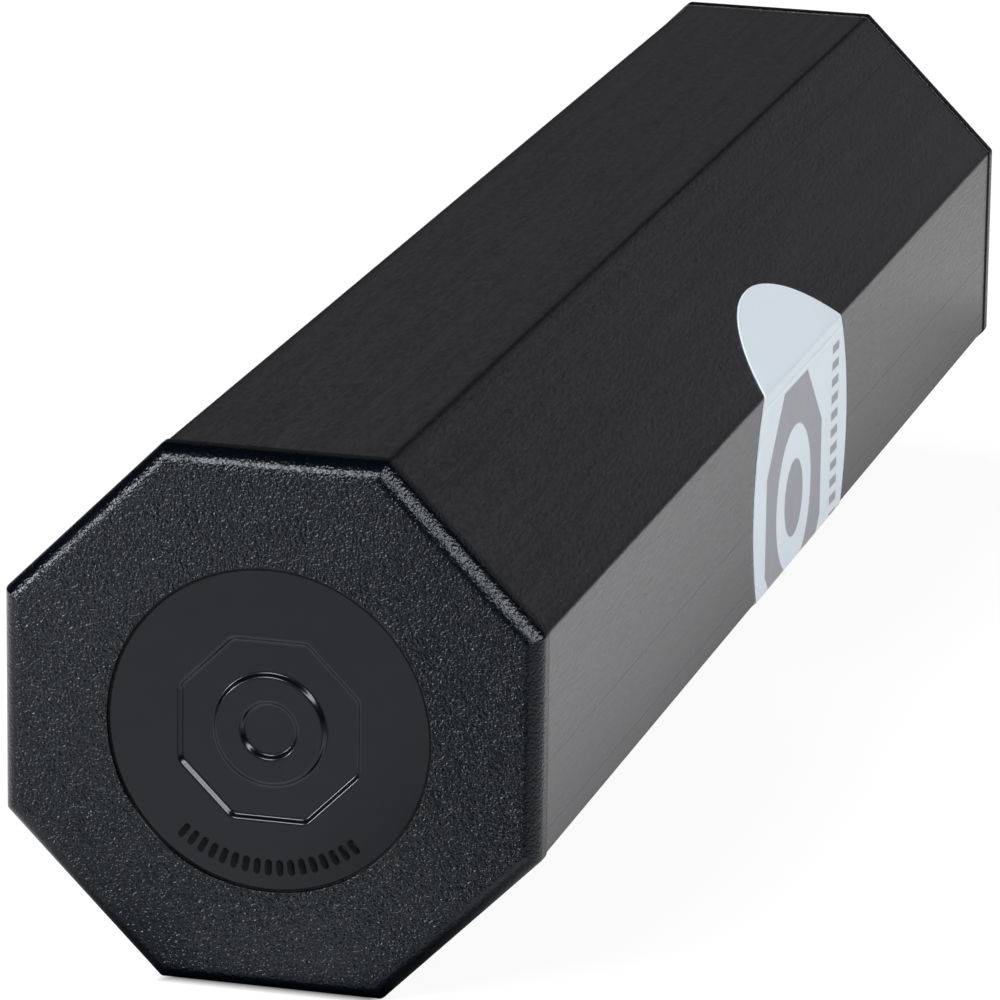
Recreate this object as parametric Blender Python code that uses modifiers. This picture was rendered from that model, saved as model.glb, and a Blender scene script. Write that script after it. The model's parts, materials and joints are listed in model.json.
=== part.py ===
"""An octagonal hand shaker: an extruded metal tube, two moulded end caps, a round label and loose fill.

Metres, +Z up. The tube lies along Y on one of its flats, with the front cap at -Y and the label facing +X.
The origin is on the surface that the shaker lies on, under the middle of the tube.
"""

import math
import random

import bmesh
import bpy
from mathutils import Matrix, Vector

# Tube, an octagonal extrusion
SIDES = 8
ACROSS_FLATS = 0.0500
TUBE_LENGTH = 0.1914
TUBE_WALL = 0.0015
TUBE_EDGE_RADIUS = 0.0005

# End caps, one moulding used twice
CAP_LIP = 0.0030
CAP_PROUD = 0.00015
CAP_RIM_RADIUS = 0.0018
CAP_SIDE_LEFT_FLAT = 0.0002
CAP_CORNER_RADIUS = 0.0006
CAP_FLOOR = 0.0020
PLUG_DEPTH = 0.0100
PLUG_WALL = 0.0016
PLUG_LEAD_IN = 0.0006
RIB_HEIGHT = 0.0004
RIB_RADIUS = 0.0009
RIB_SHORT_OF_END = 0.0015
DISC_DIAMETER = 0.0304
DISC_DEPTH = 0.00025

# Round label, stuck round three flats
LABEL_DIAMETER = 0.0412
LABEL_THICKNESS = 0.00009
LABEL_GAP = 0.00004
LABEL_PAST_MIDDLE = 0.0034
LABEL_BELOW_MIDLINE = 0.0015

# Loose fill, lying in rows along the tube's floor. The share is of the chamber's length, and sets only their number
BEAD_DIAMETER = 0.0045
BEAD_SPACING = 0.0026
FILLED_SHARE = 0.5
STRAY_SHARE = 0.9
STRAY_SEED = 8

# What is left between pieces that touch on the real shaker
SEAT_GAP = 0.0003

# Fineness of the round forms
EDGE_STEPS = 2
RIM_STEPS = 4
RIB_SIDES = 10
ROUND_SIDES = 64

# How far a cutter runs past the piece that it cuts, and a distance too small to tell two places apart
CUT_PAST = 0.002
TINY = 1e-6

# Worked out from the sizes above
HALF_SIDE_ANGLE = math.pi / SIDES
BORE_ACROSS_FLATS = ACROSS_FLATS - 2 * TUBE_WALL
CAP_ACROSS_FLATS = ACROSS_FLATS + 2 * CAP_PROUD
PLUG_ACROSS_FLATS = BORE_ACROSS_FLATS - 2 * (SEAT_GAP + RIB_HEIGHT)
POCKET_ACROSS_FLATS = PLUG_ACROSS_FLATS - 2 * PLUG_WALL
AXIS_HEIGHT = CAP_ACROSS_FLATS / 2
CAP_SEAT = TUBE_LENGTH / 2 + SEAT_GAP
PLUG_ROOT = CAP_LIP / 2
BORE_FLOOR_WIDTH = BORE_ACROSS_FLATS * math.tan(HALF_SIDE_ANGLE)
CHAMBER_LENGTH = 2 * (CAP_SEAT - PLUG_DEPTH)
ROW_PITCH = BEAD_DIAMETER + SEAT_GAP
BEAD_ROWS = int(BORE_FLOOR_WIDTH / ROW_PITCH)
BEAD_STEP = BEAD_DIAMETER + BEAD_SPACING
BEADS_IN_ROW = int(FILLED_SHARE * CHAMBER_LENGTH / BEAD_STEP)


def start_empty():
    """Clears the scene and makes the collections for the pieces and for the tools that cut them."""
    for thing in list(bpy.data.objects):
        bpy.data.objects.remove(thing, do_unlink=True)
    pieces = bpy.data.collections.new("octagonal_shaker")
    cutters = bpy.data.collections.new("cutters")
    bpy.context.scene.collection.children.link(pieces)
    bpy.context.scene.collection.children.link(cutters)
    return pieces, cutters


def make_material(name, colour, roughness, metallic):
    """A plain finish: its base colour, roughness and metallic value."""
    material = bpy.data.materials.new(name)
    material.use_nodes = True
    shader = material.node_tree.nodes["Principled BSDF"]
    shader.inputs["Base Color"].default_value = (*colour, 1.0)
    shader.inputs["Roughness"].default_value = roughness
    shader.inputs["Metallic"].default_value = metallic
    return material


def object_from(bm, name, collection, material=None):
    """Turns a bmesh into an object in one of the collections."""
    mesh = bpy.data.meshes.new(name)
    bm.to_mesh(mesh)
    bm.free()
    thing = bpy.data.objects.new(name, mesh)
    collection.objects.link(thing)
    if material:
        mesh.materials.append(material)
    else:
        thing.hide_render = True
        thing.display_type = "WIRE"
    return thing


def along_y(front, back):
    """Lays something made along Z down on Y, with its middle between front and back."""
    return Matrix.Translation((0, (front + back) / 2, 0)) @ Matrix.Rotation(math.pi / 2, 4, "X")


def octagon_bar(across_flats, front, back):
    """A bmesh of an eight-sided bar round the Y axis, from front to back, with a flat underneath."""
    bm = bmesh.new()
    corner_radius = across_flats / 2 / math.cos(HALF_SIDE_ANGLE)
    turn_flat_down = Matrix.Rotation(HALF_SIDE_ANGLE, 4, "Z")
    bmesh.ops.create_cone(
        bm,
        cap_ends=True,
        segments=SIDES,
        radius1=corner_radius,
        radius2=corner_radius,
        depth=back - front,
        matrix=along_y(front, back) @ turn_flat_down,
    )
    return bm


def is_long(edge):
    """Does the edge run along Y?"""
    run = edge.verts[1].co - edge.verts[0].co
    return abs(run.y) > run.length / 2


def lies_at(edge, y):
    """Do both ends of the edge lie in the plane at y?"""
    return all(abs(vert.co.y - y) < TINY for vert in edge.verts)


def round_edges(bm, edges, radius, steps):
    """Rounds the edges, or chamfers them with one step."""
    bmesh.ops.bevel(bm, geom=edges, offset=radius, segments=steps, profile=0.5, affect="EDGES")


def cut(thing, tool, operation):
    """Adds an exact Boolean to thing: DIFFERENCE or UNION with the tool."""
    modifier = thing.modifiers.new(f"{operation.lower()}_{tool.name}", "BOOLEAN")
    modifier.operation = operation
    modifier.solver = "EXACT"
    modifier.object = tool


def shade_round(thing):
    """Shades an object smooth, with its true corners left sharp."""
    thing.data.shade_smooth()
    thing.data.set_sharp_from_angle(angle=math.radians(25))


def make_tube(pieces, cutters, material):
    """The body: an octagonal extrusion with lightly rounded edges, open right through."""
    bm = octagon_bar(ACROSS_FLATS, -TUBE_LENGTH / 2, TUBE_LENGTH / 2)
    round_edges(bm, [edge for edge in bm.edges if is_long(edge)], TUBE_EDGE_RADIUS, EDGE_STEPS)
    tube = object_from(bm, "tube", pieces, material)
    reach = TUBE_LENGTH / 2 + CUT_PAST
    bore = object_from(octagon_bar(BORE_ACROSS_FLATS, -reach, reach), "tube_bore", cutters)
    bore.parent = tube
    cut(tube, bore, "DIFFERENCE")
    tube.location.z = AXIS_HEIGHT
    return tube


def make_ribs(name, cutters):
    """Eight half-round crush ribs, one down the middle of each side of the plug."""
    bm = bmesh.new()
    back = PLUG_DEPTH - RIB_SHORT_OF_END
    centre_out = PLUG_ACROSS_FLATS / 2 + RIB_HEIGHT - RIB_RADIUS
    for side in range(SIDES):
        place = Matrix.Rotation(2 * math.pi * side / SIDES, 4, "Y") @ Matrix.Translation((0, 0, centre_out))
        bmesh.ops.create_cone(
            bm,
            cap_ends=True,
            segments=RIB_SIDES,
            radius1=RIB_RADIUS,
            radius2=RIB_RADIUS,
            depth=back + PLUG_ROOT,
            matrix=place @ along_y(-PLUG_ROOT, back),
        )
    return object_from(bm, name, cutters)


def make_plug(name, cutters):
    """The part of a cap that goes into the tube, chamfered where it enters."""
    bm = octagon_bar(PLUG_ACROSS_FLATS, -PLUG_ROOT, PLUG_DEPTH)
    entry = [edge for edge in bm.edges if lies_at(edge, PLUG_DEPTH)]
    round_edges(bm, entry, PLUG_LEAD_IN, 1)
    return object_from(bm, name, cutters)


def make_disc_recess(name, cutters):
    """The cutter of the shallow round recess in a cap's outer face."""
    bm = bmesh.new()
    front = -CAP_LIP - CUT_PAST
    back = -CAP_LIP + DISC_DEPTH
    bmesh.ops.create_cone(
        bm,
        cap_ends=True,
        segments=ROUND_SIDES,
        radius1=DISC_DIAMETER / 2,
        radius2=DISC_DIAMETER / 2,
        depth=back - front,
        matrix=along_y(front, back),
    )
    return object_from(bm, name, cutters)


def make_cap(name, facing, pieces, cutters, material):
    """An end cap: a rounded octagonal lip over the tube's end, and a hollow ribbed plug inside it.

    It is modelled facing -Y with its seat at the origin, and turned half round where facing is +1.
    """
    bm = octagon_bar(CAP_ACROSS_FLATS, -CAP_LIP, 0)
    round_edges(bm, [edge for edge in bm.edges if is_long(edge)], CAP_CORNER_RADIUS, EDGE_STEPS)
    rim = [edge for edge in bm.edges if lies_at(edge, -CAP_LIP)]
    round_edges(bm, rim, min(CAP_RIM_RADIUS, CAP_LIP - CAP_SIDE_LEFT_FLAT), RIM_STEPS)
    cap = object_from(bm, name, pieces, material)

    plug = make_plug(f"{name}_plug", cutters)
    ribs = make_ribs(f"{name}_ribs", cutters)
    pocket_bar = octagon_bar(POCKET_ACROSS_FLATS, -CAP_LIP + CAP_FLOOR, PLUG_DEPTH + CUT_PAST)
    pocket = object_from(pocket_bar, f"{name}_pocket", cutters)
    recess = make_disc_recess(f"{name}_recess", cutters)
    for tool, operation in (
        (plug, "UNION"),
        (ribs, "UNION"),
        (pocket, "DIFFERENCE"),
        (recess, "DIFFERENCE"),
    ):
        tool.parent = cap
        cut(cap, tool, operation)

    cap.location = (0, facing * CAP_SEAT, AXIS_HEIGHT)
    if facing > 0:
        cap.rotation_euler.z = math.pi
    shade_round(cap)
    return cap


def make_label(pieces, material):
    """The round label: a flat disc on the +X side, folded at both edges onto the flats above and below."""
    side_plane = ACROSS_FLATS / 2 + LABEL_GAP
    fold_height = side_plane * math.tan(HALF_SIDE_ANGLE)
    bm = bmesh.new()
    centre = Vector((side_plane, LABEL_PAST_MIDDLE, -LABEL_BELOW_MIDLINE))
    face_x = Matrix.Translation(centre) @ Matrix.Rotation(math.pi / 2, 4, "Y")
    bmesh.ops.create_circle(
        bm, cap_ends=True, segments=ROUND_SIDES, radius=LABEL_DIAMETER / 2, matrix=face_x
    )
    for up in (1, -1):
        fold = Vector((side_plane, 0, up * fold_height))
        bmesh.ops.bisect_plane(
            bm, geom=bm.verts[:] + bm.edges[:] + bm.faces[:], plane_co=fold, plane_no=(0, 0, 1)
        )
        beyond = [vert for vert in bm.verts if up * vert.co.z > fold_height + TINY]
        bend = Matrix.Rotation(-up * 2 * HALF_SIDE_ANGLE, 3, "Y")
        bmesh.ops.rotate(bm, cent=fold, matrix=bend, verts=beyond)
    label = object_from(bm, "round_label", pieces, material)
    label.location.z = AXIS_HEIGHT
    thickness = label.modifiers.new("thickness", "SOLIDIFY")
    thickness.thickness = LABEL_THICKNESS
    thickness.offset = 1
    thickness.use_even_offset = True
    return label


def bead_places(luck):
    """Where along Y each bead of one row lies: evenly spread, with all but the end ones strayed a little."""
    most = STRAY_SHARE * (BEAD_SPACING - SEAT_GAP) / 2
    places = []
    for number in range(BEADS_IN_ROW):
        at_end = number in (0, BEADS_IN_ROW - 1)
        stray = 0 if at_end else luck.uniform(-most, most)
        places.append((number - (BEADS_IN_ROW - 1) / 2) * BEAD_STEP + stray)
    return places


def make_beads(pieces, material):
    """The fill: rows of round beads lying loose on the tube's floor. Each row hangs on its own empty."""
    luck = random.Random(STRAY_SEED)
    height = AXIS_HEIGHT - BORE_ACROSS_FLATS / 2 + SEAT_GAP + BEAD_DIAMETER / 2
    bpy.ops.mesh.primitive_ico_sphere_add(subdivisions=2, radius=BEAD_DIAMETER / 2)
    pattern = bpy.context.active_object
    mesh = pattern.data
    mesh.name = "bead"
    mesh.materials.append(material)
    mesh.shade_smooth()
    bpy.data.objects.remove(pattern, do_unlink=True)
    for row in range(BEAD_ROWS):
        run = bpy.data.objects.new(f"run_{row + 1}", None)
        run.empty_display_size = BEAD_DIAMETER
        run.location = ((row - (BEAD_ROWS - 1) / 2) * ROW_PITCH, 0, height)
        pieces.objects.link(run)
        for number, place in enumerate(bead_places(luck)):
            bead = bpy.data.objects.new(f"bead_{row + 1}_{number + 1:02d}", mesh)
            bead.location.y = place
            bead.parent = run
            pieces.objects.link(bead)


def make_shaker():
    """Builds the whole shaker."""
    pieces, cutters = start_empty()
    anodised = make_material("black_anodised", (0.020, 0.020, 0.022), 0.42, 0.8)
    moulded = make_material("black_moulded", (0.016, 0.017, 0.019), 0.50, 0.0)
    vinyl = make_material("pale_vinyl", (0.68, 0.73, 0.78), 0.45, 0.0)
    steel = make_material("steel_shot", (0.55, 0.55, 0.56), 0.25, 1.0)
    make_tube(pieces, cutters, anodised)
    make_cap("front_cap", -1, pieces, cutters, moulded)
    make_cap("rear_cap", 1, pieces, cutters, moulded)
    make_label(pieces, vinyl)
    make_beads(pieces, steel)


make_shaker()
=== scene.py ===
# %% [markdown]
# # An octagonal hand shaker
#
# The real thing is a hand percussion instrument: a black metal tube with eight flats, a moulded cap
# on each end, a round pale sticker folded over two of the tube's edges, and loose steel shot. The
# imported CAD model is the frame: it says where every piece is, in metres. This lesson dresses that
# frame. It reads the places of the pieces from the frame instead of repeating them, so a change in
# the CAD model carries through to the looks.

import json
import math
import random

import bmesh
import bpy
from mathutils import Matrix, Vector, noise

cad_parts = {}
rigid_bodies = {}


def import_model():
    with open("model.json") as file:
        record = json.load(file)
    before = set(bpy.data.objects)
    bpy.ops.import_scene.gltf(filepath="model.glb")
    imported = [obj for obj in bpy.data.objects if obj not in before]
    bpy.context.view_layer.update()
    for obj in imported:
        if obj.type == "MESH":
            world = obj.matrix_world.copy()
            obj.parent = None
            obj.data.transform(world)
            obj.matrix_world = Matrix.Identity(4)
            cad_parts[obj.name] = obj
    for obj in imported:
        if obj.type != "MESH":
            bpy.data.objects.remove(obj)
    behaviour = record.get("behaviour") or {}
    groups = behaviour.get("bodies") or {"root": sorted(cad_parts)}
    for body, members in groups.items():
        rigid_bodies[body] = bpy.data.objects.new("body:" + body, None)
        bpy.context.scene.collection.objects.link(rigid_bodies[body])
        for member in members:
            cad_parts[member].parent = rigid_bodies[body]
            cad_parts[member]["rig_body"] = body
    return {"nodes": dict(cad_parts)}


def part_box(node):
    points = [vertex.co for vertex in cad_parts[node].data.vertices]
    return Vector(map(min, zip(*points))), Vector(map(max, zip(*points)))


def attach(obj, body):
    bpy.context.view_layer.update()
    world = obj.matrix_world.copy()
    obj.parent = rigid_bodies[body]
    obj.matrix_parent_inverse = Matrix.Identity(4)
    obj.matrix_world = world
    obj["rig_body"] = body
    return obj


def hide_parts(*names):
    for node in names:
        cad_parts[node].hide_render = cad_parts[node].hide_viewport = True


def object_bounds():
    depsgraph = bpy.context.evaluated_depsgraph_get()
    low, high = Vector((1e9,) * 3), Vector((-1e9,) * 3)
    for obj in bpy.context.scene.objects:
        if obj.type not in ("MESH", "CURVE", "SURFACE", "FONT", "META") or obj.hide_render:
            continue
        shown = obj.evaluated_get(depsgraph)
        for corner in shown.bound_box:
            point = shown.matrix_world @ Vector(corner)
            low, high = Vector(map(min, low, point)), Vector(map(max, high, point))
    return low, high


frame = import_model()
cad_box = [list(corner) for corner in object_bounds()]
MM = 0.001
print("CAD box:", cad_box)

# %% [markdown]
# ## The camera
#
# The photograph was taken with a long lens from in front, a little to the right and above. A long
# lens flattens perspective: the far cap still looks three quarters as large as the near one. The
# camera's place and turn were worked out from the edges of the two caps. The turn is written here
# as two directions, which way is right and which way is up, and the way that the camera looks
# follows from those two.

# %% Place the camera
CAMERA_PLACE = Vector((0.179519, -0.682122, 0.223485))
CAMERA_RIGHT = Vector((0.964017, 0.265543, 0.012598))
CAMERA_UP = Vector((-0.085662, 0.265421, 0.960320))
CAMERA_LENS = 258.37

lens = bpy.data.cameras.new("photo_camera")
lens.sensor_width = 36
lens.lens = CAMERA_LENS
lens.clip_start, lens.clip_end = 0.01, 100
camera = bpy.data.objects.new("photo_camera", lens)
bpy.context.scene.collection.objects.link(camera)
turn = Matrix((CAMERA_RIGHT, CAMERA_UP, CAMERA_RIGHT.cross(CAMERA_UP))).transposed()
camera.matrix_world = Matrix.Translation(CAMERA_PLACE) @ turn.to_4x4()
bpy.context.scene.camera = camera
print("camera stands", round(CAMERA_PLACE.length, 3), "m from the origin")

# %% [markdown]
# ## The table and the room
#
# A black object on white needs something to mirror, or it shows as a hole in the picture. A
# photographer lays it on a white table in a darker room: sides that lean down mirror the table and
# turn grey, and sides that lean up mirror the room and stay black. The table is a large plane, and
# the world is white to the camera and to mirror rays, so that no horizon shows.

# %% A helper for finishes made of nodes
def new_finish(name):
    """A new material, and the shader that it comes with."""
    finish = bpy.data.materials.new(name)
    finish.use_nodes = True
    return finish, finish.node_tree.nodes["Principled BSDF"]


def put(tree, kind, inputs=None, **settings):
    """Adds a node and sets its options. Each input is a value, or a socket to wire in."""
    node = tree.nodes.new("ShaderNode" + kind)
    for name, value in settings.items():
        setattr(node, name, value)
    for socket, value in (inputs or {}).items():
        if isinstance(value, bpy.types.NodeSocket):
            tree.links.new(value, node.inputs[socket])
        else:
            node.inputs[socket].default_value = value
    return node


def sums(tree, operation, *values):
    """The socket of a sum on one or more numbers: ADD, MULTIPLY, ABSOLUTE and so on."""
    return put(tree, "Math", dict(enumerate(values)), operation=operation).outputs[0]


def kinds_of_ray(tree):
    """Two sockets: 1 for what the camera sees directly, and 1 for what it sees in a mirror or
    glass. Both are 0 for the light that falls on things."""
    rays = put(tree, "LightPath").outputs
    mirrored = sums(tree, "MAXIMUM", rays["Is Glossy Ray"], rays["Is Transmission Ray"])
    return rays["Is Camera Ray"], mirrored


print("helpers ready: new_finish, put, sums, kinds_of_ray")

# %% The world: white to look at, softer as a light
ROOM_LIGHT = 0.40

world = bpy.data.worlds.new("white_room")
bpy.context.scene.world = world
world.use_nodes = True
tree = world.node_tree
tree.nodes.clear()
falls = put(tree, "Background", {"Color": (1, 1, 1, 1), "Strength": ROOM_LIGHT})
looks = put(tree, "Background", {"Color": (1, 1, 1, 1), "Strength": 1.0})
seen = sums(tree, "MAXIMUM", *kinds_of_ray(tree))
mix = put(tree, "MixShader", {0: seen, 1: falls.outputs[0], 2: looks.outputs[0]})
put(tree, "OutputWorld", {"Surface": mix.outputs[0]})
print("the world lights matt surfaces with", ROOM_LIGHT)

# %% The white table
TABLE_SIZE = 60.0

bm = bmesh.new()
bmesh.ops.create_grid(bm, x_segments=8, y_segments=8, size=TABLE_SIZE / 2)
mesh = bpy.data.meshes.new("white_table")
bm.to_mesh(mesh)
bm.free()
table = bpy.data.objects.new("white_table", mesh)
bpy.context.scene.collection.objects.link(table)

paper, paper_shader = new_finish("white_paper")
mesh.materials.append(paper)
paper_shader.inputs["Roughness"].default_value = 1.0
paper_shader.inputs["Specular IOR Level"].default_value = 0.0
paper_shader.inputs["Emission Color"].default_value = (1, 1, 1, 1)
print("table is", TABLE_SIZE, "m wide")

# %% [markdown]
# The paper glows a little where the camera or a mirror sees it, which keeps the background white,
# and takes less of its shade from the lamps there, so that the object's shadow on it is faint. For
# the camera the glow fades out at the edge of the object's foot, which paints a narrow contact
# shadow. Where a mirror sees it, the glow holds painted light and shade: painted shade right under
# the object and beside its long sides, which shut out half the room; a painted pool of light to the
# left; painted shade towards the back and in front of the object; a painted reflection of the dark
# room, dim at a low angle and bright at a steep one; and a soft dark streak forward from the
# object, the painted reflection of a camera standing there. All of it but the reflection of the
# room is worked out from how far a point of the paper lies beside, in front of and behind the
# object.
#
# The numbers were found by following rays. A point of the tube's side mirrors one point of the
# paper, so its shade in the photograph says how bright that point has to look.

# %% Helpers that shape a value
def between(tree, value, low, high, start=0.0, end=1.0, kind="LINEAR"):
    """Spreads a value that runs from low to high over start to end."""
    ends = {"Value": value, 1: low, 2: high, 3: start, 4: end}
    return put(tree, "MapRange", ends, interpolation_type=kind).outputs[0]


def product(tree, *values):
    """All the values multiplied."""
    answer = values[0]
    for value in values[1:]:
        answer = sums(tree, "MULTIPLY", answer, value)
    return answer


def uneven_value(tree, place, scale, detail, distortion=0.0):
    """A noise round 0.5, with about scale ups and downs to a metre of place."""
    inputs = {"Vector": place, "Scale": scale, "Detail": detail, "Distortion": distortion}
    return put(tree, "TexNoise", inputs).outputs[0]


print("helpers ready: between, product, uneven_value")

# %% Where a point of the paper lies
FOOT_HALF = 10.5 * MM

tree = paper.node_tree
place = put(tree, "TexCoord").outputs["Object"]
parts = put(tree, "SeparateXYZ", {0: place})
beside = sums(tree, "SUBTRACT", sums(tree, "ABSOLUTE", parts.outputs[0]), FOOT_HALF)
forward = sums(tree, "SUBTRACT", cad_box[0][1], parts.outputs[1])
behind = sums(tree, "SUBTRACT", parts.outputs[1], cad_box[1][1])
outside = sums(tree, "MAXIMUM", beside, sums(tree, "MAXIMUM", forward, behind))
print("the object's foot is", round(2000 * FOOT_HALF, 1), "mm wide")

# %% Painted shade under the object and beside its long sides
FOOT_REACH = 2.6 * MM
SIDE_NEAR, SIDE_FAR = 4 * MM, 46 * MM
SIDE_DIM, SIDE_BRIGHT = 0.05, 1.24
OPEN_INSIDE, OPEN_OUTSIDE = -6 * MM, 3 * MM
OPEN_MOST, OPEN_LEAST = 16.0, 3.4
REAR_START = 30 * MM

# Painted shade in what mirrors see: dark under the object's foot and dim beside its long sides.
foot = between(tree, outside, 0.0, FOOT_REACH, kind="SMOOTHSTEP")
opening = between(tree, beside, OPEN_INSIDE, OPEN_OUTSIDE, OPEN_MOST, OPEN_LEAST)
open_front = sums(tree, "MULTIPLY", forward, opening)
open_ends = sums(tree, "MAXIMUM", open_front, sums(tree, "SUBTRACT", behind, REAR_START))
clear = sums(tree, "MAXIMUM", beside, open_ends)
side = between(tree, clear, SIDE_NEAR, SIDE_FAR, SIDE_DIM, SIDE_BRIGHT, kind="SMOOTHSTEP")
print("full white from", round(1000 * (FOOT_HALF + SIDE_FAR), 1), "mm beside the axis")

# %% Painted light and shade that change slowly from back to front and to the left
REAR_FROM, REAR_REACH, REAR_DIM = -0.10, 0.30, 0.86
LEFT_NEAR, LEFT_FAR, LEFT_MORE = 0.045, 0.11, 1.7
FRONT_FAR = 0.02
FRONT_FOOT, FRONT_DIM = 0.82, 0.64

# Painted light and shade in what mirrors see: dimmer towards the back, brighter to the left, dimmer
# in front.
rear = between(tree, behind, REAR_FROM, REAR_REACH, 1.0, REAR_DIM)
leftward = sums(tree, "MULTIPLY", parts.outputs[0], -1.0)
left = between(tree, leftward, LEFT_NEAR, LEFT_FAR, 1.0, LEFT_MORE)
front = between(tree, forward, 0.0, FRONT_FAR, FRONT_FOOT, FRONT_DIM)
print("in front of the object a mirror sees", FRONT_DIM, "of the paper's white")

# %% The painted reflection of the dark room, and the painted streak
STEEP, STEEP_BRIGHT = 0.50, 1.7
LOW, LOW_BRIGHT = 0.88, 0.30
STREAK_AT, STREAK_LEAN = 0.012, 0.24
STREAK_HALF, STREAK_SOFT, STREAK_DIM = 0.010, 0.034, 0.05
STREAK_FROM, STREAK_FULL = 0.015, 0.05

# Painted reflection of the dark room: the glow that mirrors see dims at a low angle and brightens
# at a steep one.
facing = put(tree, "LayerWeight", {"Blend": 0.5}).outputs["Facing"]
painted_room_reflection = between(tree, facing, STEEP, LOW, STEEP_BRIGHT, LOW_BRIGHT)
# Painted reflection of a camera: a soft dark streak in the paper's glow, running forward from the
# object.
lane = sums(tree, "ADD", sums(tree, "MULTIPLY", forward, STREAK_LEAN), STREAK_AT)
astray = sums(tree, "ABSOLUTE", sums(tree, "SUBTRACT", parts.outputs[0], lane))
streak = between(tree, astray, STREAK_HALF, STREAK_SOFT, 1.0, 0.0, kind="SMOOTHSTEP")
deepens = between(tree, forward, STREAK_FROM, STREAK_FULL, 0.0, 1.0 - STREAK_DIM)
streak_left = sums(tree, "SUBTRACT", 1.0, sums(tree, "MULTIPLY", streak, deepens))
mirror_share = product(tree, foot, side, rear, left, front, painted_room_reflection, streak_left)
print("the streak is", round(2000 * STREAK_HALF), "mm wide at its core")

# %% The paper's glow and shade
PAPER_WHITE, PAPER_UNEVEN = 0.80, 0.02
PAPER_GLOW = 0.93
SHADE_KEPT = 0.12
WHITE_FROM, WHITE_AT = 0.3, 1.5
SEEN_FROM, SEEN_TO = -1.8 * MM, 0.2 * MM

camera_ray, mirror_ray = kinds_of_ray(tree)
# Painted contact shadow: for the camera, the glow fades out at the edge of the object's foot.
seen_share = sums(tree, "MULTIPLY", camera_ray, between(tree, outside, SEEN_FROM, SEEN_TO))
share = sums(tree, "ADD", seen_share, sums(tree, "MULTIPLY", mirror_ray, mirror_share))
glow = between(tree, outside, WHITE_FROM, WHITE_AT, PAPER_GLOW, 1.0)
tree.links.new(sums(tree, "MULTIPLY", share, glow), paper_shader.inputs["Emission Strength"])
fibre = uneven_value(tree, place, 900.0, 3.0)
shade = between(tree, fibre, 0.0, 1.0, PAPER_WHITE - PAPER_UNEVEN, PAPER_WHITE + PAPER_UNEVEN)
lamp_ray = sums(tree, "SUBTRACT", 1.0, sums(tree, "MAXIMUM", camera_ray, mirror_ray))
kept = sums(tree, "ADD", lamp_ray, sums(tree, "MULTIPLY", share, SHADE_KEPT))
shade = sums(tree, "MULTIPLY", shade, kept)
tint = put(tree, "CombineColor", {0: shade, 1: shade, 2: shade})
tree.links.new(tint.outputs[0], paper_shader.inputs["Base Color"])
to_camera = PAPER_GLOW + PAPER_WHITE * SHADE_KEPT
print("the paper looks", round(to_camera, 2), "bright where a lamp of 1 falls on it")

# %% [markdown]
# ## Lamps
#
# The sparkling line along the cap's rounded rim is the mirror image of large soft lamps. Following
# a ray from the camera to that line and off it again says where each lamp has to stand: one above
# the camera to the left, one broad one to the right, and one low on the left. A lamp here may do
# only one of two things, light matt surfaces or show in mirrors, so the gleam on the rim can be set
# apart from the light on the sticker. Everything else above the table is dark room, which is
# modelled as a dome that only mirror rays see. A little light spills up its foot at the back, most
# of it on the right.

# %% Hang the soft lamps
LAMPS_AIM = Vector((0, -0.05, 0.025))
WHITE, WARM = (1, 1, 1), (1.0, 0.98, 0.95)


def soft_lamp(name, azimuth, height, distance, width, tall, brightness, colour=WHITE,
              lights=True, shines=True):
    """A flat rectangular lamp that faces the object. Azimuth 0 is in front and 90 on the right.
    Azimuth and height are in degrees, and distance, width and tall in metres. It lights matt
    surfaces if lights is true, and shows in mirrors if shines is true."""
    a, h = math.radians(azimuth), math.radians(height)
    way = Vector((math.sin(a) * math.cos(h), -math.cos(a) * math.cos(h), math.sin(h)))
    light = bpy.data.lights.new(name, "AREA")
    light.shape = "RECTANGLE"
    light.size, light.size_y = width, tall
    light.color = colour
    # Blender's area lamp of W watts and A square metres glows with W / (pi A)
    light.energy = brightness * math.pi * width * tall
    lamp = bpy.data.objects.new(name, light)
    lamp.location = LAMPS_AIM + way * distance
    lamp.rotation_mode = "QUATERNION"
    lamp.rotation_quaternion = (-way).to_track_quat("-Z", "Y")
    lamp.visible_camera = False
    lamp.visible_diffuse, lamp.visible_glossy = lights, shines
    bpy.context.scene.collection.objects.link(lamp)
    print(f"{name}: {brightness} bright, {width} x {tall} m")
    return lamp


soft_lamp("top_lamp", -17, 38, 1.3, 0.50, 0.46, 18.0, WARM)
soft_lamp("top_gleam", -17, 38, 1.3, 0.50, 0.46, 12.0, WARM, lights=False)
soft_lamp("low_left_lamp", -46, 9, 1.3, 0.44, 0.22, 34.0, WARM)
soft_lamp("right_gleam", 72, 36, 1.3, 1.90, 0.30, 11.5, lights=False)
soft_lamp("right_lamp", 84, 14, 1.5, 2.20, 0.36, 3.7, shines=False)
soft_lamp("ceiling_bounce", -110, 55, 1.7, 1.00, 1.00, 4.4, shines=False)

# %% The dark room, which only mirrors see
ROOM_RADIUS = 8.0
ROOM_DARK = 0.004
ROOM_SPILL = 0.10
SPILL_FULL, SPILL_END = 0.20, 0.268
SPILL_BACK = 0.6
SPILL_TURN, SPILL_LEFT, SPILL_RIGHT = 0.25, 0.6, 1.6

bm = bmesh.new()
bmesh.ops.create_uvsphere(bm, u_segments=48, v_segments=24, radius=ROOM_RADIUS)
below = [vert for vert in bm.verts if vert.co.z < -0.001]
bmesh.ops.delete(bm, geom=below, context="VERTS")
mesh = bpy.data.meshes.new("dark_room")
bm.to_mesh(mesh)
bm.free()
room = bpy.data.objects.new("dark_room", mesh)
bpy.context.scene.collection.objects.link(room)
room.visible_camera = room.visible_diffuse = room.visible_shadow = False
room.visible_transmission = room.visible_volume_scatter = False

# The dome's glow paints the reflection of a dark room, with a little light spilling up its foot;
# only mirrors see it.
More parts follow.
